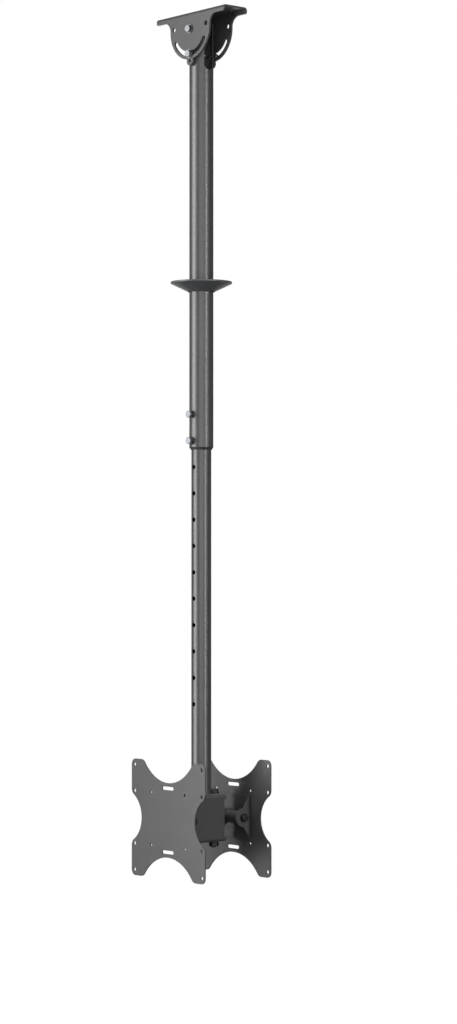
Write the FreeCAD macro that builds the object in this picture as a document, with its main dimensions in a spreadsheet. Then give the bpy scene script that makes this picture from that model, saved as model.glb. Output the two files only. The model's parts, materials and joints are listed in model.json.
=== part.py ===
import FreeCAD, Part
import os
import re

import Sketcher
from FreeCAD import Placement, Rotation, Vector

doc = FreeCAD.newDocument("CeilingMount")
sheet = doc.addObject("Spreadsheet::Sheet", "Sizes")

# Driving dimensions in millimetres, or degrees where the note says so
sizes = {
    "bracket_length": (200, "ceiling bracket, along X"),
    "bracket_sheet": (4, "ceiling bracket, sheet thickness"),
    "bracket_bend": (2, "ceiling bracket, inside radius of the folds"),
    "strip_drop": (12, "flange height at the bracket's ends"),
    "strip_corner": (4, "rounding of the flange's end corners"),
    "lobe_fillet": (18, "hollow corner between flange strip and lobe"),
    "pivot_headroom": (5, "room between tube side and web when the pole lies over"),
    "slot_radius": (47.5, "pivot to the middle of the arc slot"),
    "slot_half_sweep": (60, "arc slot to each side of straight down, degrees"),
    "slot_rim": (6, "metal outside the arc slot"),
    "tab_reach": (3, "tab hole below the lobe's edge"),
    "tab_radius": (9, "rounded tab under the lobe"),
    "tab_hole_dia": (6, "hole in the tab"),
    "side_hole_rise": (4, "side holes above the pivot"),
    "ceiling_hole_dia": (9, "ceiling screw holes"),
    "ceiling_hole_span": (150, "ceiling screw holes, along X"),
    "ceiling_hole_gauge": (28, "ceiling screw holes, along Y"),
    "spacer_thickness": (1.7, "plastic spacers beside the tube"),
    "spacer_dia": (22, "plastic spacers beside the tube"),
    "round_gap": (0.3, "gap between a round face and what passes it"),
    "flat_gap": (0.1, "gap between flat faces that slide on each other"),
    "pin_gap": (0.1, "radial gap round a bolt that is a hinge pin"),
    "bolt_gap": (0.5, "radial gap round a bolt in a slot or clearance hole"),
    "bolt_dia": (8, "pivot, lock, height and tilt bolts"),
    "bolt_flats": (13, "their heads and nuts across flats"),
    "bolt_head": (5.3, "their head height"),
    "bolt_nut": (7.5, "their nut height"),
    "bolt_point": (2, "bolt end beyond its nut"),
    "washer_dia": (17, "their washers"),
    "washer_thickness": (1.6, "their washers"),
    "tube_dia": (46, "outer tube"),
    "tube_wall": (2, "both tubes"),
    "tube_length": (808, "outer tube"),
    "tube_rise": (12, "outer tube's top above the pivot"),
    "notch_width": (20, "cable notch in the tube's top"),
    "notch_depth": (90, "cable notch from the tube's top"),
    "boss_dia": (14, "threaded bosses in the tube wall"),
    "boss_stand": (1.4, "bosses proud of the tube"),
    "boss_inset": (12, "lower boss above the tube's end"),
    "height_pitch": (50, "height holes"),
    "height_holes": (12, "number of height holes"),
    "height_bolt_travel": (3.5, "height bolt from clear of the tube to home"),
    "glide_gap": (2, "between the two tubes"),
    "collar_drop": (5, "tapered collar under the outer tube"),
    "collar_taper": (3, "how far the collar draws in"),
    "lower_sleeve": (28, "guide bush inside the outer tube"),
    "bush_hole_dia": (10, "hole in the bush for the lower height bolt"),
    "inner_head": (30, "inner tube above its first hole"),
    "inner_length": (751, "inner tube"),
    "upper_sleeve": (14, "guide bush down the inner tube"),
    "upper_cap": (3, "guide bush over the inner tube's end"),
    "canopy_radius": (58.5, "cover dish rim"),
    "canopy_drop": (493, "cover dish rim below the tube's top"),
    "canopy_depth": (18, "cover dish, rim to foot"),
    "canopy_lip": (3, "upright lip at the rim"),
    "canopy_wall": (2, "cover dish wall"),
    "canopy_foot": (2.6, "flat foot ring of the dish"),
    "grommet_wall": (1.2, "rubber ring in the dish"),
    "hub_width": (50, "hub section, along X"),
    "hub_height": (90, "hub section, along Z"),
    "hub_sheet": (3, "hub wall"),
    "hub_corner": (6, "hub outer corner radius"),
    "hub_relief": (5, "side walls cut back for the swivel"),
    "hub_lug": (11, "top and bottom walls beyond the swivel bolt"),
    "lug_height": (10, "side wall left beside each lug"),
    "hub_cable_dia": (26, "cable hole under the pole"),
    "swivel_bolt_dia": (10, "swivel bolts"),
    "swivel_flats": (16, "their heads and nuts across flats"),
    "swivel_head": (6.4, "their head height"),
    "swivel_nut": (9, "their nut height"),
    "swivel_washer_dia": (20, "their washers"),
    "swivel_washer_thickness": (2, "their washers"),
    "swivel_room": (2, "washer to the pole"),
    "thrust_thickness": (1, "plastic washers above and below the knuckle"),
    "swivel_barrel_dia": (22, "knuckle's upright barrel"),
    "tilt_barrel_dia": (24, "knuckle's level barrel"),
    "tilt_barrel_length": (92, "knuckle's level barrel"),
    "rib_thickness": (16, "knuckle's rib"),
    "rib_root": (60, "height of the rib at the upright barrel"),
    "rib_tip": (20, "height of the rib at the level barrel"),
    "tilt_room": (8.5, "hub's end to the level barrel"),
    "ear_sheet": (3, "tilt bracket, sheet thickness"),
    "ear_radius": (18, "tilt bracket, round end of the ears"),
    "ear_root": (76, "tilt bracket, height of the ears at the web"),
    "ear_bend": (2, "tilt bracket, outside radius of the folds"),
    "web_height": (84, "tilt bracket, web"),
    "web_room": (2, "level barrel to the web"),
    "plate_width": (218, "screen plate, along X"),
    "plate_height": (222, "screen plate, along Z"),
    "plate_sheet": (2.5, "screen plate, sheet thickness"),
    "plate_corner": (11, "screen plate, outer corners"),
    "plate_round": (14, "screen plate, corners beside the scoops"),
    "scoop_radius": (88, "top and bottom scoops"),
    "scoop_depth": (41, "top and bottom scoops"),
    "side_scoop_radius": (50, "side scoops"),
    "side_scoop_depth": (30, "side scoops"),
    "hole_side_inset": (9, "wide screen holes from the plate's sides"),
    "hole_end_inset": (11, "wide screen holes from the plate's top and bottom"),
    "mid_pitch": (100, "screen holes, middle pitch"),
    "wide_hole_dia": (7, "screen holes on the wide pitch"),
    "small_hole_dia": (5, "screen holes on the middle pitch both ways"),
    "level_slot_length": (34, "slots above and below the middle"),
    "level_slot_width": (6.5, "slots above and below the middle"),
    "level_slot_inset": (10, "slot's middle from the scoop"),
}
for row, (alias, (size, note)) in enumerate(sizes.items(), start=1):
    sheet.set(f"A{row}", note)
    sheet.set(f"B{row}", str(size))
    sheet.setAlias(f"B{row}", alias)
doc.recompute()

# Sizes that follow from the driving ones, as formulas of their names
tube_radius = "(tube_dia / 2)"
tube_bore = "(tube_dia / 2 - tube_wall)"
inner_radius = "(tube_dia / 2 - tube_wall - glide_gap)"
inner_bore = f"({inner_radius} - tube_wall)"
flange_inside = f"({tube_radius} + round_gap + spacer_thickness)"
flange_outside = f"({flange_inside} + bracket_sheet)"
pivot_z = f"(-bracket_sheet - {tube_radius} - pivot_headroom)"
lock_z = f"({pivot_z} - slot_radius)"
slot_width = "(bolt_dia + 2 * bolt_gap)"
lobe_radius = f"(slot_radius + {slot_width} / 2 + slot_rim)"
tab_z = f"({pivot_z} - {lobe_radius} - tab_reach)"
tube_top = f"({pivot_z} + tube_rise)"
tube_end = f"({tube_top} - tube_length)"
lower_boss_z = f"({tube_end} + boss_inset)"
upper_boss_z = f"({lower_boss_z} + height_pitch)"
boss_face = f"({tube_radius} + boss_stand)"
inner_top = f"({upper_boss_z} + inner_head)"
hub_top = f"({inner_top} - inner_length)"
hub_centre = f"({hub_top} - hub_height / 2)"
canopy_z = f"({tube_top} - canopy_drop)"
canopy_bore = f"({tube_radius} + round_gap + grommet_wall)"
swivel_y = f"({inner_radius} + swivel_room + swivel_washer_dia / 2)"
hub_end = f"({swivel_y} + hub_lug)"
tilt_y = f"({hub_end} + tilt_room + tilt_barrel_dia / 2)"
web_y = f"({tilt_y} + tilt_barrel_dia / 2 + web_room)"
plate_y = f"({web_y} + ear_sheet)"
ear_inside = "(tilt_barrel_length / 2 + spacer_thickness + flat_gap)"
ear_outside = f"({ear_inside} + ear_sheet)"
scoop_floor = "(plate_height / 2 - scoop_depth)"
wide_x_pitch = "(plate_width - 2 * hole_side_inset)"
wide_z_pitch = "(plate_height - 2 * hole_end_inset)"

nodes = []
turn_to = {
    "x": Rotation(Vector(0, 1, 0), 90),
    "y": Rotation(Vector(1, 0, 0), -90),
    "z": Rotation(),
}
back_turn = Rotation(Vector(0, 0, 1), 180)
crown_share = 0.96  # flat end of a crowned hexagon, as a share of its width across flats
crown_angle = 60  # slope of the crown, degrees from the axis


def tied(formula):
    # Each size name in the formula becomes a reference to its cell
    return re.sub(r"[a-z]\w*", lambda m: f"Sizes.{m[0]}" if m[0] in sizes else m[0], formula)


def number(formula):
    return float(sheet.evalExpression(tied(formula)))


def bind(thing, name, formula):
    thing.setExpression(name, tied(formula))


def place(thing, x="0", y="0", z="0", turn=Rotation()):
    thing.Placement = Placement(Vector(number(x), number(y), number(z)), turn)
    for axis, formula in zip("xyz", (x, y, z)):
        bind(thing, f"Placement.Base.{axis}", formula)
    return thing


def keep(thing, label):
    thing.Label = label
    nodes.append(thing)
    return thing


# Sketches and features of a body

def new_body(name):
    return doc.addObject("PartDesign::Body", name)


def origin_part(body, role):
    return next(part for part in body.Origin.OriginFeatures if part.Role == role)


def new_sketch(body, role, name, offset="0"):
    sketch = body.newObject("Sketcher::SketchObject", name)
    sketch.AttachmentSupport = [(origin_part(body, role), "")]
    sketch.MapMode = "FlatFace"
    bind(sketch, "AttachmentOffset.Base.z", offset)
    return sketch


def tie(sketch, formula, kind, *where):
    index = sketch.addConstraint(Sketcher.Constraint(kind, *where, number(formula)))
    bind(sketch, f"Constraints[{index}]", formula)


def pin(sketch, geometry, point, x, y):
    tie(sketch, x, "DistanceX", -1, 1, geometry, point)
    tie(sketch, y, "DistanceY", -1, 1, geometry, point)


def draw_circle(sketch, x, y, radius):
    middle = Vector(number(x), number(y), 0)
    circle = sketch.addGeometry(Part.Circle(middle, Vector(0, 0, 1), number(radius)), False)
    pin(sketch, circle, 3, x, y)
    tie(sketch, radius, "Radius", circle)


def draw_outline(sketch, corners):
    first = sketch.GeometryCount
    spots = [Vector(number(x), number(y), 0) for x, y in corners]
    ends = spots[1:] + spots[:1]
    for start, end in zip(spots, ends):
        sketch.addGeometry(Part.LineSegment(start, end), False)
    for step, (x, y) in enumerate(corners):
        following = (step + 1) % len(corners)
        joined = Sketcher.Constraint("Coincident", first + step, 2, first + following, 1)
        sketch.addConstraint(joined)
        pin(sketch, first + step, 1, x, y)


def draw_box(sketch, left, right, low, high):
    draw_outline(sketch, [(left, low), (right, low), (right, high), (left, high)])


def pad(body, sketch, length, symmetric=True):
    feature = body.newObject("PartDesign::Pad", sketch.Name + "Pad")
    feature.Profile = sketch
    feature.SideType = "Symmetric" if symmetric else "One side"
    bind(feature, "Length", length)
    doc.recompute()
    return feature


def cut(body, sketch, length, reversed_cut=False, symmetric=True):
    before = body.Shape.Volume
    feature = body.newObject("PartDesign::Pocket", sketch.Name + "Cut")
    feature.Profile = sketch
    feature.SideType = "Symmetric" if symmetric else "One side"
    feature.Reversed = reversed_cut
    bind(feature, "Length", length)
    doc.recompute()
    if body.Shape.Volume >= before:
        raise RuntimeError(f"{sketch.Name} cuts nothing")
    return feature


def revolve(body, sketch):
    feature = body.newObject("PartDesign::Revolution", sketch.Name + "Turned")
    feature.Profile = sketch
    feature.ReferenceAxis = (origin_part(body, "Z_Axis"), [""])
    doc.recompute()
    return feature


def round_edges(body, name, radius, chosen):
    base = body.Tip
    edges = [f"Edge{n}" for n, edge in enumerate(base.Shape.Edges, start=1) if chosen(edge)]
    if not edges:
        raise RuntimeError(f"{name} finds no edge")
    feature = body.newObject("PartDesign::Fillet", name)
    feature.Base = (base, edges)
    bind(feature, "Radius", radius)
    doc.recompute()
    return feature


def near(a, b):
    return abs(a - b) < 0.01


def runs_along(edge, axis):
    # A straight edge whose ends differ only along one axis
    start, end = edge.Vertexes[0].Point, edge.Vertexes[-1].Point
    across = [side for side in "xyz" if side != axis]
    return len(edge.Vertexes) == 2 and all(near(getattr(start, s), getattr(end, s)) for s in across)


# Round and hexagonal hardware

def cylinder(name, radius, length, axis="z", x="0", y="0", z="0"):
    part = doc.addObject("Part::Cylinder", name)
    bind(part, "Radius", radius)
    bind(part, "Height", length)
    return place(part, x, y, z, turn_to[axis])


def hexagon(name, flats, length, axis, x, y, z):
    part = doc.addObject("Part::Prism", name)
    part.Polygon = 6
    bind(part, "Circumradius", f"{flats} / 2 / cos(30)")
    bind(part, "Height", length)
    return place(part, x, y, z, turn_to[axis])


def less(name, base, *tools):
    result = doc.addObject("Part::Cut", name)
    result.Base = base
    result.Tool = tools[0] if len(tools) == 1 else joined(name + "Tools", *tools)
    return result


def joined(name, *parts):
    result = doc.addObject("Part::MultiFuse", name)
    result.Shapes = list(parts)
    return result


def group(name, *parts):
    result = doc.addObject("Part::Compound", name)
    result.Links = list(parts)
    return result


def spot_on(axis, along, others):
    # The place of a piece that starts at along on the axis, with the other coordinates given
    spot = dict(others)
    spot[axis] = along
    return {side: spot.get(side, "0") for side in "xyz"}


def ring(name, radius, bore, length, axis, along, others):
    start = spot_on(axis, along, others)
    outside = cylinder(name + "Outside", radius, length, axis, **start)
    inside = cylinder(name + "Inside", bore, length, axis, **start)
    return less(name, outside, inside)


def ring_pair(name, radius, bore, length, axis, inner_face, others):
    # Two equal rings that mirror each other about the axis's zero
    far = ring(name + "Far", radius, bore, length, axis, inner_face, others)
    near_side = ring(name + "Near", radius, bore, length, axis, f"-{inner_face} - {length}", others)
    return group(name, far, near_side)


def crowned(name, flats, length, axis, along, others, crown_up):
    # A hexagon whose free end is turned to a blunt cone
    spot = spot_on(axis, along, others)
    blank = hexagon(name + "Blank", flats, length, axis, **spot)
    turning = doc.addObject("Part::Cone", name + "Turning")
    narrow = f"{crown_share} * {flats} / 2"
    wide = f"{narrow} + {length} * tan({crown_angle})"
    bind(turning, "Radius1", wide if crown_up else narrow)
    bind(turning, "Radius2", narrow if crown_up else wide)
    bind(turning, "Height", length)
    place(turning, **spot, turn=turn_to[axis])
    result = doc.addObject("Part::Common", name)
    result.Base = blank
    result.Tool = turning
    return result


def hex_bolt(name, dia, flats, head, axis, seat, end, others, head_low=True):
    # The head sits beyond its seat, and the shank runs from there to the bolt's end
    head_start = f"{seat} - {head}" if head_low else seat
    cap = crowned(name + "Head", flats, head, axis, head_start, others, not head_low)
    low, high = (seat, end) if head_low else (end, seat)
    spot = spot_on(axis, low, others)
    shank = cylinder(name + "Shank", f"{dia} / 2", f"{high} - ({low})", axis, **spot)
    return joined(name, cap, shank)


def hex_nut(name, dia, flats, height, axis, along, others, crown_up=True):
    blank = crowned(name + "Body", flats, height, axis, along, others, crown_up)
    spot = spot_on(axis, along, others)
    return less(name, blank, cylinder(name + "Bore", f"{dia} / 2", height, axis, **spot))


# Ceiling bracket: a channel with two lobed flanges, one folded sheet

def arc_slot():
    # Two quarter-like sectors that start straight down, and a round end on each
    reach = f"2 * {flange_outside}"
    outer, inner = f"slot_radius + {slot_width} / 2", f"slot_radius - {slot_width} / 2"
    parts = []
    for side, name in ((-1, "Left"), (1, "Right")):
        turn = Rotation(Vector(0, 0, -1), Vector(side, 0, 0), Vector(0, -side, 0), "XZY")
        sectors = []
        for radius, part_name in ((outer, "Outer"), (inner, "Inner")):
            sector = cylinder(f"Slot{name}{part_name}", radius, reach)
            bind(sector, "Angle", "slot_half_sweep")
            sectors.append(place(sector, "0", f"{side} * {flange_outside}", pivot_z, turn))
        parts.append(less(f"Slot{name}", *sectors))
        end_x = f"{side} * slot_radius * sin(slot_half_sweep)"
        end_z = f"{pivot_z} - slot_radius * cos(slot_half_sweep)"
        end = cylinder(f"Slot{name}End", f"{slot_width} / 2", reach, "y", end_x, f"-{flange_outside}", end_z)
        parts.append(end)
    return joined("ArcSlot", *parts)


def make_ceiling_bracket():
    body = new_body("BracketSheet")
    width = f"2 * {flange_outside}"

    strip = new_sketch(body, "XZ_Plane", "BracketStrip")
    draw_box(strip, "-bracket_length / 2", "bracket_length / 2", "-strip_drop", "0")
    pad(body, strip, width)

    lobe = new_sketch(body, "XZ_Plane", "BracketLobe")
    corners = [
        (f"-{lobe_radius}", pivot_z),
        (f"-{lobe_radius}", "0"),
        (lobe_radius, "0"),
        (lobe_radius, pivot_z),
    ]
    spots = [Vector(number(x), number(z), 0) for x, z in corners]
    for start, end in zip(spots, spots[1:]):
        lobe.addGeometry(Part.LineSegment(start, end), False)
    bottom = Vector(0, number(f"{pivot_z} - {lobe_radius}"), 0)
    arc = lobe.addGeometry(Part.Arc(spots[0], bottom, spots[-1]), False)
    for line in (0, 1):
        lobe.addConstraint(Sketcher.Constraint("Coincident", line, 2, line + 1, 1))
    for line, (x, z) in enumerate(corners[:3]):
        pin(lobe, line, 1, x, z)
    pin(lobe, 2, 2, *corners[3])
    lobe.addConstraint(Sketcher.Constraint("Coincident", arc, 1, 0, 1))
    lobe.addConstraint(Sketcher.Constraint("Coincident", arc, 2, 2, 2))
    tie(lobe, pivot_z, "DistanceY", -1, 1, arc, 3)
    pad(body, lobe, width)

    tab = new_sketch(body, "XZ_Plane", "BracketTab")
    draw_circle(tab, "0", tab_z, "tab_radius")
    pad(body, tab, width)

    lobe_side, strip_low = number(lobe_radius), number("-strip_drop")
    round_edges(body, "LobeHollow", "lobe_fillet", lambda e: runs_along(e, "y")
                and near(abs(e.CenterOfMass.x), lobe_side) and near(e.CenterOfMass.z, strip_low))
    strip_end = number("bracket_length / 2")
    round_edges(body, "StripCorner", "strip_corner", lambda e: runs_along(e, "y")
                and near(abs(e.CenterOfMass.x), strip_end) and near(e.CenterOfMass.z, strip_low))

    channel = new_sketch(body, "YZ_Plane", "BracketChannel")
    draw_box(channel, f"-{flange_inside}", flange_inside, f"{tab_z} - 2 * tab_radius", "-bracket_sheet")
    cut(body, channel, "2 * bracket_length")

    outside, inside = number(flange_outside), number(flange_inside)
    under_web = number("-bracket_sheet")
    round_edges(body, "OuterFold", "bracket_bend + bracket_sheet", lambda e: runs_along(e, "x")
                and near(abs(e.CenterOfMass.y), outside) and near(e.CenterOfMass.z, 0))
    round_edges(body, "InnerFold", "bracket_bend", lambda e: runs_along(e, "x")
                and near(abs(e.CenterOfMass.y), inside) and near(e.CenterOfMass.z, under_web))

    holes = new_sketch(body, "XZ_Plane", "FlangeHoles")
    draw_circle(holes, "0", pivot_z, "bolt_dia / 2 + pin_gap")
    draw_circle(holes, "0", tab_z, "tab_hole_dia / 2")
    for side in ("-", ""):
        draw_circle(holes, f"{side}slot_radius", f"{pivot_z} + side_hole_rise", f"{slot_width} / 2")
    cut(body, holes, f"4 * {flange_outside}")

    ceiling_holes = new_sketch(body, "XY_Plane", "CeilingHoles")
    for x_side in ("-", ""):
        for y_side in ("-", ""):
            x, y = f"{x_side}ceiling_hole_span / 2", f"{y_side}ceiling_hole_gauge / 2"
            draw_circle(ceiling_holes, x, y, "ceiling_hole_dia / 2")
    cut(body, ceiling_holes, "4 * bracket_sheet")
    keep(less("CeilingBracket", body, arc_slot()), "ceiling_bracket")


def make_cross_bolt(name, z, gap):
    # A bolt from front to back through both flanges and the tube, with its nut and washers
    at = {"z": z}
    seat = f"({flange_outside} + {gap} + washer_thickness)"
    bolt = hex_bolt(f"{name}Bolt", "bolt_dia", "bolt_flats", "bolt_head", "y", f"-{seat}",
                    f"{seat} + bolt_nut + bolt_point", at)
    keep(bolt, f"{name.lower()}_bolt")
    nut = hex_nut(f"{name}Nut", "bolt_dia", "bolt_flats", "bolt_nut", "y", seat, at)
    keep(nut, f"{name.lower()}_nut")
    washers = ring_pair(f"{name}Washers", "washer_dia / 2", "bolt_dia / 2 + pin_gap", "washer_thickness",
                        "y", f"({flange_outside} + {gap})", at)
    keep(washers, f"{name.lower()}_washers")


def make_spacers(name, z, face, thickness):
    spacers = ring_pair(f"{name}Spacers", "spacer_dia / 2", "bolt_dia / 2 + pin_gap", thickness,
                        "y", face, {"z": z})
    keep(spacers, f"{name.lower()}_spacers")


# Pole: outer tube with its bushes and bosses, cover dish and inner tube

def make_outer_tube():
    body = keep(new_body("OuterTube"), "outer_tube")
    section = new_sketch(body, "XY_Plane", "OuterSection", tube_end)
    draw_circle(section, "0", "0", tube_radius)
    draw_circle(section, "0", "0", tube_bore)
    pad(body, section, "tube_length", symmetric=False)

    notch = new_sketch(body, "YZ_Plane", "CableNotch")
    notch_floor = f"{tube_top} - notch_depth + notch_width / 2"
    draw_box(notch, "-notch_width / 2", "notch_width / 2", notch_floor, f"{tube_top} + notch_width")
    cut(body, notch, "2 * tube_dia")
    notch_round = new_sketch(body, "YZ_Plane", "CableNotchRound")
    draw_circle(notch_round, "0", notch_floor, "notch_width / 2")
    cut(body, notch_round, "2 * tube_dia")

    bolt_holes = new_sketch(body, "XZ_Plane", "TubeBoltHoles")
    for z in (pivot_z, lock_z):
        draw_circle(bolt_holes, "0", z, "bolt_dia / 2 + pin_gap")
    cut(body, bolt_holes, "2 * tube_dia")
    boss_holes = new_sketch(body, "XZ_Plane", "BossHoles")
    for z in (upper_boss_z, lower_boss_z):
        draw_circle(boss_holes, "0", z, "boss_dia / 2 + pin_gap")
    cut(body, boss_holes, "tube_dia", reversed_cut=True, symmetric=False)


def make_height_bolts():
    # The bosses stand in the front wall, and each bolt rests clear of the inner tube
    bosses = []
    point = f"-({inner_radius} + round_gap + flat_gap)"
    seat = f"-({boss_face} + height_bolt_travel)"
    for name, z in (("Upper", upper_boss_z), ("Lower", lower_boss_z)):
        bosses.append(ring(f"{name}Boss", "boss_dia / 2", "bolt_dia / 2 + pin_gap",
                           f"{boss_face} - {tube_bore}", "y", f"-{boss_face}", {"z": z}))
        bolt = hex_bolt(f"HeightBolt{name}", "bolt_dia", "bolt_flats", "bolt_head", "y", seat, point,
                        {"z": z})
        keep(bolt, f"height_bolt_{name.lower()}")
    keep(group("HeightBosses", *bosses), "height_bosses")


def make_lower_guide_bush():
    body = keep(new_body("LowerGuideBush"), "lower_guide_bush")
    half = new_sketch(body, "XZ_Plane", "LowerBushHalf")
    bore, sleeve = f"{inner_radius} + pin_gap", f"{tube_bore} - pin_gap"
    draw_outline(half, [
        (bore, f"{tube_end} - collar_drop"),
        (f"{tube_radius} - collar_taper", f"{tube_end} - collar_drop"),
        (tube_radius, tube_end),
        (sleeve, tube_end),
        (sleeve, f"{tube_end} + lower_sleeve"),
        (bore, f"{tube_end} + lower_sleeve"),
    ])
    revolve(body, half)
    hole = new_sketch(body, "XZ_Plane", "LowerBushHole")
    draw_circle(hole, "0", lower_boss_z, "bush_hole_dia / 2")
    cut(body, hole, "tube_dia", reversed_cut=True, symmetric=False)


def make_inner_tube():
    body = keep(new_body("InnerTube"), "inner_tube")
    section = new_sketch(body, "XY_Plane", "InnerSection", hub_top)
    draw_circle(section, "0", "0", inner_radius)
    draw_circle(section, "0", "0", inner_bore)
    pad(body, section, "inner_length", symmetric=False)
    first_hole = new_sketch(body, "XZ_Plane", "FirstHeightHole")
    draw_circle(first_hole, "0", upper_boss_z, "bolt_dia / 2 + bolt_gap")
    hole = cut(body, first_hole, "2 * tube_dia")
    row = body.newObject("PartDesign::LinearPattern", "HeightHoles")
    row.Originals = [hole]
    row.Direction = (origin_part(body, "Z_Axis"), [""])
    row.Reversed = True
    bind(row, "Length", "height_pitch * (height_holes - 1)")
    bind(row, "Occurrences", "height_holes")
    body.Tip = row


def make_upper_guide_bush():
    body = keep(new_body("UpperGuideBush"), "upper_guide_bush")
    half = new_sketch(body, "XZ_Plane", "UpperBushHalf")
    bore, outside = f"{inner_radius} + pin_gap", f"{tube_bore} - pin_gap"
    draw_outline(half, [
        (bore, f"{inner_top} - upper_sleeve"),
        (outside, f"{inner_top} - upper_sleeve"),
        (outside, f"{inner_top} + upper_cap"),
        (inner_bore, f"{inner_top} + upper_cap"),
        (inner_bore, inner_top),
        (bore, inner_top),
    ])
    revolve(body, half)


def make_canopy():
    dish = keep(new_body("CanopyDish"), "canopy_dish")
    half = new_sketch(dish, "XZ_Plane", "DishHalf")
    foot, floor = f"{canopy_z} - canopy_depth", f"{canopy_z} - canopy_depth + canopy_wall"
    foot_radius = f"{canopy_bore} + canopy_foot"
    draw_outline(half, [
        (canopy_bore, foot),
        (foot_radius, foot),
        ("canopy_radius", f"{canopy_z} - canopy_lip"),
        ("canopy_radius", canopy_z),
        ("canopy_radius - canopy_wall", canopy_z),
        ("canopy_radius - canopy_wall", f"{canopy_z} - canopy_lip + canopy_wall / 2"),
        (foot_radius, floor),
        (canopy_bore, floor),
    ])
    revolve(dish, half)

    grommet = keep(new_body("CanopyGrommet"), "canopy_grommet")
    section = new_sketch(grommet, "XZ_Plane", "GrommetHalf")
    bore, groove, lip = f"{tube_radius} + round_gap", canopy_bore, f"{canopy_bore} + grommet_wall"
    draw_outline(section, [
        (bore, f"{foot} - grommet_wall"),
        (lip, f"{foot} - grommet_wall"),
        (lip, foot),
        (groove, foot),
        (groove, floor),
        (lip, floor),
        (lip, f"{floor} + grommet_wall"),
        (bore, f"{floor} + grommet_wall"),
    ])
    revolve(grommet, section)


# Hub: a short length of rectangular section, with lugs for the swivel bolts

def make_hub():
    body = keep(new_body("Hub"), "hub")
    place(body, z=hub_centre)
    section = new_sketch(body, "XZ_Plane", "HubSection")
    draw_box(section, "-hub_width / 2", "hub_width / 2", "-hub_height / 2", "hub_height / 2")
    pad(body, section, f"2 * {hub_end}")
    round_edges(body, "HubCorner", "hub_corner", lambda e: runs_along(e, "y"))

    inside = new_sketch(body, "XZ_Plane", "HubInside")
    draw_box(inside, "-hub_width / 2 + hub_sheet", "hub_width / 2 - hub_sheet",
             "-hub_height / 2 + hub_sheet", "hub_height / 2 - hub_sheet")
    cut(body, inside, f"4 * {hub_end}")
    inner_side = number("hub_width / 2 - hub_sheet")
    round_edges(body, "HubInnerCorner", "hub_corner - hub_sheet",
                lambda e: runs_along(e, "y") and near(abs(e.CenterOfMass.x), inner_side)
                and abs(e.CenterOfMass.z) > number("hub_height / 4"))

    relief = new_sketch(body, "YZ_Plane", "HubRelief")
    low, high = "-hub_height / 2 + lug_height", "hub_height / 2 - lug_height"
    draw_box(relief, f"{hub_end} - hub_relief", f"{hub_end} + hub_relief", low, high)
    draw_box(relief, f"-{hub_end} - hub_relief", f"-{hub_end} + hub_relief", low, high)
    cut(body, relief, "2 * hub_width")

    bolt_holes = new_sketch(body, "XY_Plane", "SwivelHoles")
    for side in ("-", ""):
        draw_circle(bolt_holes, "0", f"{side}{swivel_y}", "swivel_bolt_dia / 2 + pin_gap")
    cut(body, bolt_holes, "2 * hub_height")
    cable_hole = new_sketch(body, "XY_Plane", "HubCableHole")
    draw_circle(cable_hole, "0", "0", "hub_cable_dia / 2")
    cut(body, cable_hole, "hub_height", reversed_cut=True, symmetric=False)


# Heads: the same pieces face front and back, about the hub's centre

def set_head(thing, side, piece):
    place(thing, z=hub_centre, turn=back_turn if side == "back" else Rotation())
    return keep(thing, f"{side}_{piece}")


def make_knuckle(side):
    body = new_body(f"{side.title()}Knuckle")
    barrel_height = "(hub_height - 2 * hub_sheet - 2 * thrust_thickness - 2 * flat_gap)"
    upright = new_sketch(body, "XY_Plane", f"{side}UprightBarrel")
    draw_circle(upright, "0", f"-{swivel_y}", "swivel_barrel_dia / 2")
    pad(body, upright, barrel_height)
    level = new_sketch(body, "YZ_Plane", f"{side}LevelBarrel")
    draw_circle(level, f"-{tilt_y}", "0", "tilt_barrel_dia / 2")
    pad(body, level, "tilt_barrel_length")
    rib = new_sketch(body, "YZ_Plane", f"{side}Rib")
    draw_outline(rib, [
        (f"-{swivel_y}", "-rib_root / 2"),
        (f"-{swivel_y}", "rib_root / 2"),
        (f"-{tilt_y}", "rib_tip / 2"),
        (f"-{tilt_y}", "-rib_tip / 2"),
    ])
    pad(body, rib, "rib_thickness")
    swivel_bore = new_sketch(body, "XY_Plane", f"{side}SwivelBore")
    draw_circle(swivel_bore, "0", f"-{swivel_y}", "swivel_bolt_dia / 2 + pin_gap")
    cut(body, swivel_bore, "2 * hub_height")
    tilt_bore = new_sketch(body, "YZ_Plane", f"{side}TiltBore")
    draw_circle(tilt_bore, f"-{tilt_y}", "0", "bolt_dia / 2 + pin_gap")
    cut(body, tilt_bore, "2 * tilt_barrel_length")
    set_head(body, side, "knuckle")


def make_swivel_hardware(side):
    at = {"y": f"-{swivel_y}"}
    wall, seat = "(hub_height / 2)", "(hub_height / 2 + swivel_washer_thickness)"
    name = side.title()
    bolt = hex_bolt(f"{name}SwivelBolt", "swivel_bolt_dia", "swivel_flats", "swivel_head", "z", seat,
                    f"-{seat} - swivel_nut - bolt_point", at, head_low=False)
    set_head(bolt, side, "swivel_bolt")
    nut = hex_nut(f"{name}SwivelNut", "swivel_bolt_dia", "swivel_flats", "swivel_nut", "z",
                  f"-{seat} - swivel_nut", at, crown_up=False)
    set_head(nut, side, "swivel_nut")
    bore = "swivel_bolt_dia / 2 + pin_gap"
    washers = ring_pair(f"{name}SwivelWashers", "swivel_washer_dia / 2", bore, "swivel_washer_thickness",
                        "z", wall, at)
    set_head(washers, side, "swivel_washers")
    thrust = ring_pair(f"{name}ThrustWashers", "swivel_barrel_dia / 2", bore, "thrust_thickness",
                       "z", "(hub_height / 2 - hub_sheet - thrust_thickness)", at)
    set_head(thrust, side, "thrust_washers")


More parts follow.
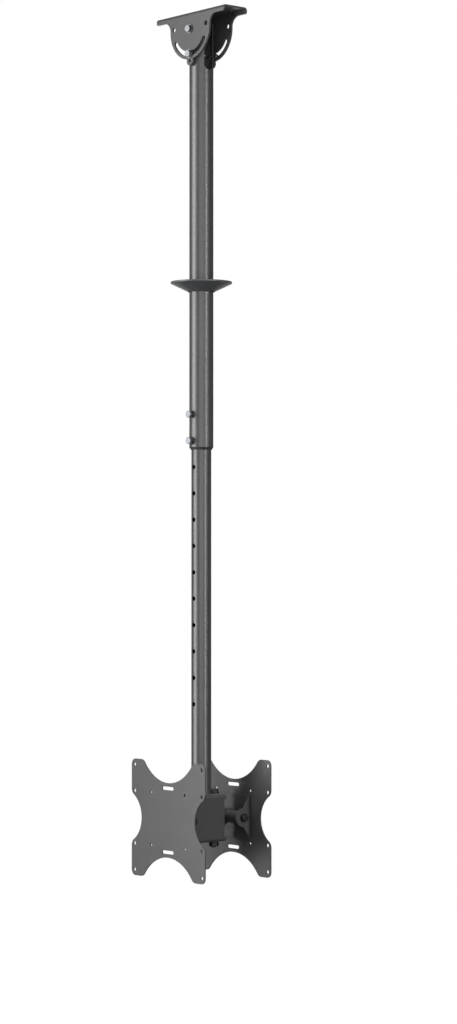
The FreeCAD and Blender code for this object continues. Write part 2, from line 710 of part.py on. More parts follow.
def make_tilt_bracket(side):
    body = new_body(f"{side.title()}TiltBracket")
    outline = new_sketch(body, "YZ_Plane", f"{side}EarOutline")
    draw_outline(outline, [
        (f"-{plate_y}", "-web_height / 2"),
        (f"-{plate_y}", "web_height / 2"),
        (f"-{web_y}", "web_height / 2"),
        (f"-{web_y}", "ear_root / 2"),
        (f"-{tilt_y}", "ear_radius"),
        (f"-{tilt_y}", "-ear_radius"),
        (f"-{web_y}", "-ear_root / 2"),
        (f"-{web_y}", "-web_height / 2"),
    ])
    pad(body, outline, f"2 * {ear_outside}")
    ear_end = new_sketch(body, "YZ_Plane", f"{side}EarEnd")
    draw_circle(ear_end, f"-{tilt_y}", "0", "ear_radius")
    pad(body, ear_end, f"2 * {ear_outside}")
    channel = new_sketch(body, "XY_Plane", f"{side}EarChannel")
    draw_box(channel, f"-{ear_inside}", ear_inside, f"-{web_y}", f"-{tilt_y} + 2 * ear_radius")
    # The second box keeps the ears' round ends behind the plate
    draw_box(channel, f"-2 * {ear_outside}", f"2 * {ear_outside}", f"-{plate_y} - ear_radius", f"-{plate_y}")
    cut(body, channel, "2 * web_height")
    outside, plate_face = number(ear_outside), -number(plate_y)
    round_edges(body, f"{side}EarFold", "ear_bend", lambda e: runs_along(e, "z")
                and near(abs(e.CenterOfMass.x), outside) and near(e.CenterOfMass.y, plate_face))
    bolt_hole = new_sketch(body, "YZ_Plane", f"{side}EarHole")
    draw_circle(bolt_hole, f"-{tilt_y}", "0", "bolt_dia / 2 + pin_gap")
    cut(body, bolt_hole, f"4 * {ear_outside}")
    set_head(body, side, "tilt_bracket")


def make_tilt_hardware(side):
    # The bolt's head is on the same side of the part for both heads
    head_low = side == "back"
    at = {"y": f"-{tilt_y}"}
    name = side.title()
    seat = f"({ear_outside} + washer_thickness)"
    reach = f"({seat} + bolt_nut + bolt_point)"
    head_seat, end = (f"-{seat}", reach) if head_low else (seat, f"-{reach}")
    bolt = hex_bolt(f"{name}TiltBolt", "bolt_dia", "bolt_flats", "bolt_head", "x", head_seat, end, at,
                    head_low)
    set_head(bolt, side, "tilt_bolt")
    nut_start = seat if head_low else f"-{seat} - bolt_nut"
    nut = hex_nut(f"{name}TiltNut", "bolt_dia", "bolt_flats", "bolt_nut", "x", nut_start, at, head_low)
    set_head(nut, side, "tilt_nut")
    bore = "bolt_dia / 2 + pin_gap"
    washers = ring_pair(f"{name}TiltWashers", "washer_dia / 2", bore, "washer_thickness", "x",
                        ear_outside, at)
    set_head(washers, side, "tilt_washers")
    spacers = ring_pair(f"{name}TiltSpacers", "tilt_barrel_dia / 2", bore, "spacer_thickness", "x",
                        f"({ear_inside} - spacer_thickness)", at)
    set_head(spacers, side, "tilt_spacers")


def make_screen_plate(side):
    body = new_body(f"{side.title()}Plate")
    blank = new_sketch(body, "XZ_Plane", f"{side}PlateBlank", plate_y)
    draw_box(blank, "-plate_width / 2", "plate_width / 2", "-plate_height / 2", "plate_height / 2")
    pad(body, blank, "plate_sheet", symmetric=False)
    corner_x = number("plate_width / 2")
    round_edges(body, f"{side}PlateCorner", "plate_corner",
                lambda e: runs_along(e, "y") and near(abs(e.CenterOfMass.x), corner_x))

    scoops = new_sketch(body, "XZ_Plane", f"{side}Scoops", plate_y)
    for sign in ("", "-"):
        draw_circle(scoops, "0", f"{sign}({scoop_floor} + scoop_radius)", "scoop_radius")
        side_middle = f"{sign}(plate_width / 2 - side_scoop_depth + side_scoop_radius)"
        draw_circle(scoops, side_middle, "0", "side_scoop_radius")
    cut(body, scoops, "4 * plate_sheet")
    half_chord = number("sqrt(scoop_depth * (2 * scoop_radius - scoop_depth))")
    side_chord = number("sqrt(side_scoop_depth * (2 * side_scoop_radius - side_scoop_depth))")
    round_edges(body, f"{side}PlateRound", "plate_round", lambda e: runs_along(e, "y")
                and (near(abs(e.CenterOfMass.x), half_chord) or near(abs(e.CenterOfMass.z), side_chord)))

    holes = new_sketch(body, "XZ_Plane", f"{side}ScreenHoles", plate_y)
    patterns = [
        (wide_x_pitch, wide_z_pitch, "wide_hole_dia"),
        (wide_x_pitch, "mid_pitch", "wide_hole_dia"),
        ("mid_pitch", "mid_pitch", "small_hole_dia"),
    ]
    for x_pitch, z_pitch, dia in patterns:
        for x_sign in ("", "-"):
            for z_sign in ("", "-"):
                draw_circle(holes, f"{x_sign}{x_pitch} / 2", f"{z_sign}{z_pitch} / 2", f"{dia} / 2")
    cut(body, holes, "4 * plate_sheet")

    slots = new_sketch(body, "XZ_Plane", f"{side}LevelSlots", plate_y)
    slot_ends = new_sketch(body, "XZ_Plane", f"{side}LevelSlotEnds", plate_y)
    half_run, half_width = "(level_slot_length - level_slot_width) / 2", "level_slot_width / 2"
    for sign in ("", "-"):
        middle = f"{sign}({scoop_floor} - level_slot_inset)"
        draw_box(slots, f"-{half_run}", half_run, f"{middle} - {half_width}", f"{middle} + {half_width}")
        for x_sign in ("", "-"):
            draw_circle(slot_ends, f"{x_sign}{half_run}", middle, half_width)
    cut(body, slots, "4 * plate_sheet")
    cut(body, slot_ends, "4 * plate_sheet")
    set_head(body, side, "screen_plate")


make_ceiling_bracket()
make_cross_bolt("Pivot", pivot_z, "0")
make_spacers("Pivot", pivot_z, f"({flange_inside} - spacer_thickness)", "spacer_thickness")
make_cross_bolt("Lock", lock_z, "flat_gap")
make_spacers("Lock", lock_z, tube_radius, f"({flange_inside} - {tube_radius} - flat_gap)")
make_outer_tube()
make_height_bolts()
make_lower_guide_bush()
make_canopy()
make_inner_tube()
make_upper_guide_bush()
make_hub()
for head in ("front", "back"):
    make_knuckle(head)
    make_swivel_hardware(head)
    make_tilt_bracket(head)
    make_tilt_hardware(head)
    make_screen_plate(head)
doc.recompute()

for thing in doc.Objects:
    if "Invalid" in thing.State or "Error" in thing.State:
        raise RuntimeError(f"{thing.Label} did not build: {thing.State}")
for node in nodes:
    if node.Shape.isNull() or not node.Shape.isValid():
        raise RuntimeError(f"{node.Label} has no valid shape")

os.makedirs("parts", exist_ok=True)
for node in nodes:
    node.Shape.exportStep(f"parts/{node.Label}.step")
    print(node.Label, len(node.Shape.Solids), round(node.Shape.Volume))
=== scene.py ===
import json
import math

import bmesh
import bpy
from mathutils import Matrix, Vector

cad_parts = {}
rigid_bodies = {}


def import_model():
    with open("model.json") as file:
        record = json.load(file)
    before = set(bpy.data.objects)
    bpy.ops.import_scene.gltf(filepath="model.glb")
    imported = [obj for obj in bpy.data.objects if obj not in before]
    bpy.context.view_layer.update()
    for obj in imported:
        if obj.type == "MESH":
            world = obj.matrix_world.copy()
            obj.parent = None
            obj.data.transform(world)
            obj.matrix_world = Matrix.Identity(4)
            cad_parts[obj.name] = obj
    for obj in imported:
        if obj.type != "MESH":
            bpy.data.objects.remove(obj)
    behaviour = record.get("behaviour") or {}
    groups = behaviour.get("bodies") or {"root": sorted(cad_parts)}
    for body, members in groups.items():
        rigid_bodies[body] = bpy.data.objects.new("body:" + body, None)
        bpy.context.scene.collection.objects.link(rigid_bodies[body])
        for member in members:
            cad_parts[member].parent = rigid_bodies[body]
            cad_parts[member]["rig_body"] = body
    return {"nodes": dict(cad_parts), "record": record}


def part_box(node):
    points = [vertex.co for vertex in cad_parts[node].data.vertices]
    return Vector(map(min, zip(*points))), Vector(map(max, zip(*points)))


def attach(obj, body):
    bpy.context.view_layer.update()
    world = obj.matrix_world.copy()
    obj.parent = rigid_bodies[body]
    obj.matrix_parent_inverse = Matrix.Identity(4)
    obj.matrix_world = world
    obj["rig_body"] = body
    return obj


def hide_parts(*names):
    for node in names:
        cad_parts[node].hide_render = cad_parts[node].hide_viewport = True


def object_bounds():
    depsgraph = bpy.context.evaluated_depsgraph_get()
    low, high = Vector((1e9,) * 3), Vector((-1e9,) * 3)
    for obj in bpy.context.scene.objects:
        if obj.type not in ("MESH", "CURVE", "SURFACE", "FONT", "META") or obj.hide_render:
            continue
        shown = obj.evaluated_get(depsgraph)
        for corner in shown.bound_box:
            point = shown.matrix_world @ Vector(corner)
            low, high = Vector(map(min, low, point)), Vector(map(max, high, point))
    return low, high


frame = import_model()
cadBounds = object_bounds()
nodes = frame["nodes"]
slotOf = {part["node"]: part["material_slot"] for part in frame["record"]["subparts"]}
mm = 0.001
tiny = 0.001 * mm        # less than any edge or gap on the part
levelFace = 0.99         # a face whose normal has this share along Z is level
roundSteps = 2           # steps across the round of an edge
flatWeight = 90          # of 100, how far the flats set the shade of the rounds beside them
print("frame loaded,", len(nodes), "CAD nodes")


# small helpers for colours, shader nodes and hand modelling
def hexColour(text):
    channels = [int(text[i:i + 2], 16) / 255 for i in (1, 3, 5)]
    linear = [c / 12.92 if c <= 0.04045 else ((c + 0.055) / 1.055) ** 2.4 for c in channels]
    return (*linear, 1.0)


def addNode(tree, kind, settings=None, links=None):
    node = tree.nodes.new(kind)
    for key, value in (settings or {}).items():
        if isinstance(key, int) or key in node.inputs:
            node.inputs[key].default_value = value
        else:
            setattr(node, key, value)
    for key, source in (links or {}).items():
        tree.links.new(source, node.inputs[key])
    return node


def emptyMaterial(name):
    # a material with no shader yet, and the place on the piece that its patterns read
    material = bpy.data.materials.new(name)
    material.use_nodes = True
    tree = material.node_tree
    tree.nodes.clear()
    return material, tree, addNode(tree, "ShaderNodeTexCoord").outputs["Object"]


def clearSelection():
    if bpy.context.object and bpy.context.object.mode != "OBJECT":
        bpy.ops.object.mode_set(mode="OBJECT")
    bpy.ops.object.select_all(action="DESELECT")


def pickFaces(piece, wanted):
    # edit mode, with only the faces that the test wants selected
    bpy.ops.object.mode_set(mode="EDIT")
    bpy.ops.mesh.select_mode(type="FACE")
    bpy.ops.mesh.select_all(action="DESELECT")
    shape = bmesh.from_edit_mesh(piece.data)
    for face in shape.faces:
        face.select_set(wanted(face))
    bmesh.update_edit_mesh(piece.data)


def moveVertices(piece, newPlace):
    bpy.ops.object.mode_set(mode="EDIT")
    shape = bmesh.from_edit_mesh(piece.data)
    for vertex in shape.verts:
        vertex.co = newPlace(vertex.co)
    bmesh.update_edit_mesh(piece.data)
    bpy.ops.object.mode_set(mode="OBJECT")


def addModifier(piece, name, kind, **settings):
    modifier = piece.modifiers.new(name, kind)
    for key, value in settings.items():
        setattr(modifier, key, value)
    return modifier


def applyModifier(piece, kind, **settings):
    bpy.context.view_layer.objects.active = piece
    modifier = addModifier(piece, kind.title(), kind, **settings)
    bpy.ops.object.modifier_apply(modifier=modifier.name)


# sockets of a Mix node, which share their names: values and colours going in, and what comes out
valueA, valueB, colourA, colourB = 2, 3, 6, 7
mixedValue, mixedColour = 0, 2
noiseLow, noiseHigh = 0.3, 0.7      # nearly all of a noise pattern lies between these


def cloudedTone(tree, place, s):
    # a slow cloud that drifts between the finish's dark and light shades: the cloud, and its colour
    cloud = addNode(tree, "ShaderNodeTexNoise", {"Scale": 1 / (s["cloudMm"] * mm), "Detail": s["cloudDetail"]},
                    {"Vector": place}).outputs["Fac"]
    tone = addNode(tree, "ShaderNodeMix", {"data_type": "RGBA", colourA: hexColour(s["dark"]),
                                           colourB: hexColour(s["light"])}, {0: cloud})
    return cloud, tone.outputs[mixedColour]


def closeMaterial(tree, settings, links):
    surface = addNode(tree, "ShaderNodeBsdfPrincipled", settings, links)
    addNode(tree, "ShaderNodeOutputMaterial", links={"Surface": surface.outputs["BSDF"]})


# satin black epoxy powder, sprayed and baked: a soft sheen over a faint orange peel
powderCoat = {
    "dark": "#323233", "light": "#3a3a3b",
    "cloudMm": 45, "cloudDetail": 3,      # slow drift in film thickness
    "peelMm": 2.6, "peelDetail": 2,       # orange peel, drawn about twice as coarse as real so that it shows
    "grainMm": 0.7, "grainDetail": 1,     # powder grit, drawn coarser too
    "peelBump": (0.05, 0.3), "grainBump": (0.03, 0.1),      # strength, and height in mm
    "roughness": (0.29, 0.38), "ior": 1.5,
    # the spray doesn't reach into a tube, so its bore is bare steel, drawn near black as painted shade inside the
    # tube as well
    "bareSteelAndShade": "#121212", "bareRoughness": 0.9,
    "boreMargin": 0.4,                    # mm past the bore, so that its whole wall is in
    "bores": {"outer_tube": 21, "inner_tube": 17},          # radius in mm
}


def powderCoatMaterial(boreMm=None):
    s = powderCoat
    material, tree, place = emptyMaterial("satinBlackPowderCoat" + ("OnTube%d" % boreMm if boreMm else ""))
    tone = cloudedTone(tree, place, s)[1]
    peel = addNode(tree, "ShaderNodeTexNoise", {"Scale": 1 / (s["peelMm"] * mm), "Detail": s["peelDetail"]},
                   {"Vector": place}).outputs["Fac"]
    grain = addNode(tree, "ShaderNodeTexNoise", {"Scale": 1 / (s["grainMm"] * mm), "Detail": s["grainDetail"]},
                    {"Vector": place}).outputs["Fac"]
    gloss = addNode(tree, "ShaderNodeMapRange", {"From Min": noiseLow, "From Max": noiseHigh,
                                                 "To Min": s["roughness"][0], "To Max": s["roughness"][1]},
                    {"Value": peel}).outputs["Result"]
    # the bore turns near black: bare steel, together with painted shade inside the tube
    if boreMm:
        across = addNode(tree, "ShaderNodeVectorMath", {"operation": "MULTIPLY", 1: (1, 1, 0)}, {0: place})
        radius = addNode(tree, "ShaderNodeVectorMath", {"operation": "LENGTH"}, {0: across.outputs["Vector"]})
        inside = addNode(tree, "ShaderNodeMath", {"operation": "LESS_THAN", 1: (boreMm + s["boreMargin"]) * mm},
                         {0: radius.outputs["Value"]}).outputs["Value"]
        tone = addNode(tree, "ShaderNodeMix", {"data_type": "RGBA", colourB: hexColour(s["bareSteelAndShade"])},
                       {0: inside, colourA: tone}).outputs[mixedColour]
        gloss = addNode(tree, "ShaderNodeMix", {valueB: s["bareRoughness"]},
                        {0: inside, valueA: gloss}).outputs[mixedValue]
    bump = {}
    for height, (strength, depth) in ((peel, s["peelBump"]), (grain, s["grainBump"])):
        relief = addNode(tree, "ShaderNodeBump", {"Strength": strength, "Distance": depth * mm},
                         {"Height": height, **bump})
        bump = {"Normal": relief.outputs["Normal"]}
    closeMaterial(tree, {"IOR": s["ior"]}, {"Base Color": tone, "Roughness": gloss, **bump})
    return material


# bright zinc plate on steel: grey with a faint blue cast, and crystals that differ slightly in gloss
zincPlate = {
    "dark": "#6b6d70", "light": "#8e9194",
    "cloudMm": 6, "cloudDetail": 4,
    "crystalMm": 0.9,
    "roughness": (0.4, 0.56),
    "bump": 0.04, "bumpMm": 0.1,
}


def zincPlateMaterial():
    s = zincPlate
    material, tree, place = emptyMaterial("brightZincPlate")
    cloud, tone = cloudedTone(tree, place, s)
    crystal = addNode(tree, "ShaderNodeTexVoronoi", {"Scale": 1 / (s["crystalMm"] * mm)}, {"Vector": place})
    gloss = addNode(tree, "ShaderNodeMapRange", {"To Min": s["roughness"][0], "To Max": s["roughness"][1]},
                    {"Value": crystal.outputs["Distance"]})
    bump = addNode(tree, "ShaderNodeBump", {"Strength": s["bump"], "Distance": s["bumpMm"] * mm},
                   {"Height": cloud})
    closeMaterial(tree, {"Metallic": 1.0}, {"Base Color": tone, "Roughness": gloss.outputs["Result"],
                                            "Normal": bump.outputs["Normal"]})
    return material


# black oxide on steel fasteners: nearly black with an oily, uneven gloss
blackOxide = {
    "dark": "#1c1c1e", "light": "#2b2b2d",
    "cloudMm": 4, "cloudDetail": 5,
    "roughness": (0.32, 0.52), "metallic": 0.6,
}


def blackOxideMaterial():
    s = blackOxide
    material, tree, place = emptyMaterial("blackOxideSteel")
    cloud, tone = cloudedTone(tree, place, s)
    gloss = addNode(tree, "ShaderNodeMapRange", {"From Min": noiseLow, "From Max": noiseHigh,
                                                 "To Min": s["roughness"][0], "To Max": s["roughness"][1]},
                    {"Value": cloud})
    closeMaterial(tree, {"Metallic": s["metallic"]}, {"Base Color": tone, "Roughness": gloss.outputs["Result"]})
    return material


# injection-moulded polypropylene: spark-eroded mould grain, softly matt
mouldedPlastic = {
    "black": {"dark": "#242526", "light": "#2c2d2f"},
    "charcoal": {"dark": "#353637", "light": "#3e3f40"},      # the cover dish, which is as light as the pole
    "cloudMm": 20, "cloudDetail": 3,
    "grainMm": 0.9,
    "roughness": (0.42, 0.56), "ior": 1.49,
    "bump": 0.06, "bumpMm": 0.1,
}


def mouldedPlasticMaterial(shade):
    s = mouldedPlastic
    material, tree, place = emptyMaterial(shade + "MouldedPolypropylene")
    cloud, tone = cloudedTone(tree, place, {**s, **s[shade]})
    grain = addNode(tree, "ShaderNodeTexVoronoi", {"Scale": 1 / (s["grainMm"] * mm)}, {"Vector": place})
    gloss = addNode(tree, "ShaderNodeMapRange", {"To Min": s["roughness"][0], "To Max": s["roughness"][1]},
                    {"Value": cloud})
    bump = addNode(tree, "ShaderNodeBump", {"Strength": s["bump"], "Distance": s["bumpMm"] * mm},
                   {"Height": grain.outputs["Distance"]})
    closeMaterial(tree, {"IOR": s["ior"]}, {"Base Color": tone, "Roughness": gloss.outputs["Result"],
                                            "Normal": bump.outputs["Normal"]})
    return material


# moulded rubber: dull, slightly bloomed, with a fine dusty grain
mattRubber = {
    "dark": "#161616", "light": "#212121",
    "cloudMm": 8, "cloudDetail": 4,      # bloom
    "grainMm": 0.8, "grainDetail": 2,
    "roughness": (0.7, 0.88), "ior": 1.52,
    "bump": 0.1, "bumpMm": 0.1,
}


def mattRubberMaterial():
    s = mattRubber
    material, tree, place = emptyMaterial("mattMouldedRubber")
    bloom, tone = cloudedTone(tree, place, s)
    grain = addNode(tree, "ShaderNodeTexNoise", {"Scale": 1 / (s["grainMm"] * mm), "Detail": s["grainDetail"]},
                    {"Vector": place})
    gloss = addNode(tree, "ShaderNodeMapRange", {"To Min": s["roughness"][0], "To Max": s["roughness"][1]},
                    {"Value": bloom})
    bump = addNode(tree, "ShaderNodeBump", {"Strength": s["bump"], "Distance": s["bumpMm"] * mm},
                   {"Height": grain.outputs["Fac"]})
    closeMaterial(tree, {"IOR": s["ior"]}, {"Base Color": tone, "Roughness": gloss.outputs["Result"],
                                            "Normal": bump.outputs["Normal"]})
    return material


finishes = {
    "powder_coat": powderCoatMaterial(),
    "zinc_plate": zincPlateMaterial(),
    "black_oxide": blackOxideMaterial(),
    "black_plastic": mouldedPlasticMaterial("black"),
    "black_rubber": mattRubberMaterial(),
}


def giveFinish(piece, slot):
    piece.data.materials.clear()
    piece.data.materials.append(finishes[slot])


for name, piece in nodes.items():
    giveFinish(piece, slotOf[name])
for name, boreMm in powderCoat["bores"].items():
    nodes[name].data.materials[0] = powderCoatMaterial(boreMm)
nodes["canopy_dish"].data.materials[0] = mouldedPlasticMaterial("charcoal")
print("finishes given to", len(nodes), "CAD nodes")


# broken edges: every punched or sawn edge of the sheet steel has a small round that catches the light
edgeRounds = {
    "widths": {      # mm
        "ceiling_bracket": 0.6, "hub": 0.5,
        "front_screen_plate": 0.5, "back_screen_plate": 0.5,
        "front_tilt_bracket": 0.5, "back_tilt_bracket": 0.5,
        "front_knuckle": 0.5, "back_knuckle": 0.5,
    },
    "leastBend": 32,      # degrees, an edge bent less than this is part of a curve
    "flatBend": 0.5,      # degrees, triangles bent less than this are one face
}


def breakEdges(piece, width):
    s = edgeRounds
    addModifier(piece, "closeSeams", "WELD", merge_threshold=tiny)
    addModifier(piece, "plainFaces", "DECIMATE", decimate_type="DISSOLVE", angle_limit=math.radians(s["flatBend"]))
    addModifier(piece, "brokenEdge", "BEVEL", limit_method="ANGLE", angle_limit=math.radians(s["leastBend"]),
                width=width * mm, segments=roundSteps)
    addModifier(piece, "evenShade", "WEIGHTED_NORMAL", keep_sharp=False, weight=flatWeight)


for name, width in edgeRounds["widths"].items():
    breakEdges(nodes[name], width)
print("edges broken")


# fasteners: cold-forged hexagon bolts and nuts, modelled once for each length and copied into place
fasteners = {
    # mm: thread size, width across flats, heights of head and nut, pitch, length of thread
    "M8": {"size": 8, "flats": 13, "head": 5.3, "nut": 7.5, "pitch": 1.25, "thread": 22},
    "M10": {"size": 10, "flats": 16, "head": 6.4, "nut": 9.0, "pitch": 1.5, "thread": 26},
    # hexagons
    "barSides": 72,        # sides of the turned bar that a hexagon is made from, a multiple of six
    "barWidth": 1.24,      # of the bar, as a share of the width across flats, so that it clears the corners
    "crown": 0.96,         # flat circle on a turned face, as a share of the width across flats
    "crownAngle": 30,      # degrees off the flat face
    "edgeRound": 0.15,     # mm
    "edgeBend": 25,        # degrees, an edge bent less than this gets no round
    "smoothBend": 32,      # degrees, an edge bent less than this is shaded smooth
    # bolts, mm
    "seatGap": 0.05,       # left under a head, so that a bolt turned home only just clears its seat
    "letIn": 0.5,          # how far the shank goes into the head
    "shankSides": 48,
    "tipChamfer": 0.8,     # length
    "tipTaper": 0.8,       # radius lost over the chamfer, as a share of its length
    # threads
    "threadDepth": 0.6,    # as a share of the pitch
    "ridgeBase": 0.9,      # width at the ridge's foot, as a share of the pitch
    "ridgeRoot": 0.1,      # mm that the ridge's foot goes into the core
    "turnSteps": 24,       # steps in each turn
    # nuts, mm
    "boreGap": 0.05,       # from the thread's core to the bore
    "sinkGap": 0.3,        # from the thread's crest to the rim of the countersink
}
# ways that a head or a nut's free face may point: the axis, the way along it, and where the model's own
# X, Y and Z then go
facings = {
    "front": (1, -1, Matrix(((0, 1, 0), (0, 0, -1), (-1, 0, 0)))),
    "back": (1, 1, Matrix(((0, 1, 0), (0, 0, 1), (1, 0, 0)))),
    "up": (2, 1, Matrix(((0, 1, 0), (-1, 0, 0), (0, 0, 1)))),
    "down": (2, -1, Matrix(((0, 1, 0), (1, 0, 0), (0, 0, -1)))),
    "right": (0, 1, Matrix(((0, 0, 1), (1, 0, 0), (0, 1, 0)))),
    "left": (0, -1, Matrix(((0, 0, -1), (-1, 0, 0), (0, 1, 0)))),
}


def drawOut(rise, share):
    # the picked face is drawn out along Z, in mm, and scaled
    bpy.ops.mesh.extrude_region_move(TRANSFORM_OT_translate={"value": (0, 0, rise * mm)})
    bpy.ops.transform.resize(value=(share, share, 1))


def turnedRod(profile, sides):
    # a lathe form along Z, from pairs of height and radius in mm, lowest first
    clearSelection()
    (low, first), (high, second) = profile[:2]
    bpy.ops.mesh.primitive_cone_add(vertices=sides, radius1=first * mm, radius2=second * mm,
                                    depth=(high - low) * mm, location=(0, 0, (low + high) / 2 * mm))
    rod = bpy.context.object
    bpy.ops.object.transform_apply(location=True)
    for height, radius in profile[2:]:
        top = max(vertex.co.z for vertex in rod.data.vertices)
        pickFaces(rod, lambda face: face.normal.z > levelFace and len(face.verts) == sides
                  and abs(face.calc_center_median().z - top) < tiny)
        drawOut(height - high, radius / second)
        bpy.ops.object.mode_set(mode="OBJECT")
        high, second = height, radius
    return rod


def hexBlank(kind, height, crownBelow):
    # a turned bar with coned ends, whose side is then brought in to six flats along the slope of the cones
    flat = fasteners[kind]["flats"] / 2
    slope = math.tan(math.radians(fasteners["crownAngle"]))
    circle, wide = flat * fasteners["crown"], flat * fasteners["barWidth"]
    drop = (wide - circle) * slope
    profile = [(0, circle), (drop, wide)] if crownBelow else [(0, wide)]
    blank = turnedRod(profile + [(height - drop, wide), (height, circle)], fasteners["barSides"])

    def bringIn(place):
        across = math.hypot(place.x, place.y)
        turn = math.atan2(place.y, place.x)
        # how far out the flat lies at this turn, with a corner on Y
        reach = flat * mm / math.cos((turn - math.pi / 2) % (math.pi / 3) - math.pi / 6)
        if across <= reach:
            return place
        side = 1 if place.z > height / 2 * mm else -1 if crownBelow else 0
        return (place.x * reach / across, place.y * reach / across, place.z + side * (across - reach) * slope)

    moveVertices(blank, bringIn)
    return blank


def coreRadius(kind):
    s = fasteners[kind]
    return s["size"] / 2 - fasteners["threadDepth"] * s["pitch"]


def threadRidge(kind, low, high):
    # one triangle swept up a helix, as the rolled thread stands out of its core
    s = fasteners[kind]
    depth = fasteners["threadDepth"] * s["pitch"] + fasteners["ridgeRoot"]
    base = fasteners["ridgeBase"] * s["pitch"]
    turns = int((high - low - base) / s["pitch"])
    clearSelection()
    bpy.ops.mesh.primitive_circle_add(vertices=3, radius=base / math.sqrt(3) * mm,
                                      rotation=(0, -math.pi / 2, -math.pi / 2))
    ridge = bpy.context.object
    bpy.ops.object.transform_apply(rotation=True)
    bpy.ops.object.mode_set(mode="EDIT")
    bpy.ops.mesh.select_all(action="SELECT")
    bpy.ops.transform.resize(value=(depth / base * 2 / math.sqrt(3), 1, 1))
    reach = max(vertex.co.x for vertex in bmesh.from_edit_mesh(ridge.data).verts)
    bpy.ops.transform.translate(value=(s["size"] / 2 * mm - reach, 0, (low + base / 2) * mm))
    bpy.ops.object.mode_set(mode="OBJECT")
    steps = fasteners["turnSteps"]
    applyModifier(ridge, "SCREW", axis="Z", angle=2 * math.pi, screw_offset=s["pitch"] * mm, iterations=turns,
                  steps=steps, render_steps=steps)
    bpy.ops.object.mode_set(mode="EDIT")
    bpy.ops.mesh.select_all(action="SELECT")
    bpy.ops.mesh.fill_holes(sides=3)
    bpy.ops.mesh.normals_make_consistent(inside=False)
    bpy.ops.object.mode_set(mode="OBJECT")
    return ridge


def roundEdges(piece):
    applyModifier(piece, "BEVEL", width=fasteners["edgeRound"] * mm, segments=roundSteps, limit_method="ANGLE",
                  angle_limit=math.radians(fasteners["edgeBend"]))


def shadeForging(piece):
    # flats stay flat to the eye, and only the thin rounds between them turn
    bpy.ops.object.shade_smooth_by_angle(angle=math.radians(fasteners["smoothBend"]))
    applyModifier(piece, "WEIGHTED_NORMAL", keep_sharp=True, weight=flatWeight)


def makeBolt(kind, length):
    # the head stands above the origin and the shank hangs below it
    s = fasteners[kind]
    gap, letIn, chamfer = fasteners["seatGap"], fasteners["letIn"], fasteners["tipChamfer"]
    head = hexBlank(kind, s["head"] - gap, False)
    head.data.transform(Matrix.Translation((0, 0, gap * mm)))
    roundEdges(head)
    thread = min(s["thread"], length)
    radius, core = s["size"] / 2, coreRadius(kind)
    profile = [(-length, core - chamfer * fasteners["tipTaper"]), (-length + chamfer, core)]
    if thread < length:
        profile += [(-length + thread, core), (-length + thread, radius), (letIn, radius)]
    else:
        profile += [(letIn, core)]      # threaded all the way up
    shank = turnedRod(profile, fasteners["shankSides"])
    ridge = threadRidge(kind, -length + chamfer, -length + thread)
    clearSelection()
    for part in (head, shank, ridge):
        part.select_set(True)
    bpy.context.view_layer.objects.active = head
    bpy.ops.object.join()
    shadeForging(head)
    return head


def makeNut(kind):
    # the nut stands on the origin, and its two countersunk ends are bridged by the bore
    s = fasteners[kind]
    nut = hexBlank(kind, s["nut"], True)
    core, sink = coreRadius(kind) + fasteners["boreGap"], s["size"] / 2 + fasteners["sinkGap"]
    circle, sides = s["flats"] / 2 * fasteners["crown"], fasteners["barSides"]
    for end in (1, -1):
        pickFaces(nut, lambda face: face.normal.z * end > levelFace and len(face.verts) == sides)
        drawOut(0, sink / circle)
        drawOut(end * (core - sink), core / sink)
    pickFaces(nut, lambda face: len(face.verts) == sides)
    bpy.ops.mesh.bridge_edge_loops()
    bpy.ops.object.mode_set(mode="OBJECT")
    roundEdges(nut)
    shadeForging(nut)
    return nut


def nodeEnds(node, facing):
    # the middle of a CAD node's box, and the box's inner and outer end along the facing
    low, high = (Vector(corner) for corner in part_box(node))
    axis, way = facings[facing][:2]
    ends = (low[axis], high[axis])
    return (low + high) / 2, *ends[::way]


def fitFastener(model, node, facing, foot):
    # a copy of the model takes the CAD node's place, with its own origin put at the foot
    piece = model.copy()
    piece.data = model.data.copy()
    piece.name = node + "_detail"
    bpy.context.scene.collection.objects.link(piece)
    piece.data.transform(Matrix.Translation(foot) @ facings[facing][2].to_4x4())
    giveFinish(piece, slotOf[node])
    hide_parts(node)
    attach(piece, nodes[node]["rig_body"])


def fitBolts(kind, names, facing):
    # bolts of one length, each with its head at the outer end
    head = fasteners[kind]["head"]
    axis, way = facings[facing][:2]
    inner, outer = nodeEnds(names[0], facing)[1:]
    model = makeBolt(kind, abs(outer - inner) / mm - head)
    for name in names:
        foot, outer = nodeEnds(name, facing)[::2]
        foot[axis] = outer - way * head * mm
        fitFastener(model, name, facing, foot)
    bpy.data.objects.remove(model)


def fitNuts(kind, names, facing):
    axis = facings[facing][0]
    model = makeNut(kind)
    for name in names:
        foot, inner = nodeEnds(name, facing)[:2]
        foot[axis] = inner
        fitFastener(model, name, facing, foot)
    bpy.data.objects.remove(model)


fitBolts("M8", ["pivot_bolt", "lock_bolt"], "front")
fitBolts("M8", ["height_bolt_upper", "height_bolt_lower"], "front")
fitBolts("M10", ["front_swivel_bolt", "back_swivel_bolt"], "up")
fitBolts("M8", ["front_tilt_bolt", "back_tilt_bolt"], "right")
fitNuts("M8", ["pivot_nut", "lock_nut"], "back")
fitNuts("M10", ["front_swivel_nut", "back_swivel_nut"], "down")
fitNuts("M8", ["front_tilt_nut", "back_tilt_nut"], "left")
print("bolts and nuts fitted")


# weld: the small rippled fillet that joins the inner tube's foot to the hub
weldBead = {
    "leg": 1.6,              # mm
    "ripples": 44, "rippleSteps": 6,
    "rippleDepth": 0.16,     # as a share of the leg
    "sectionSides": 12,
}


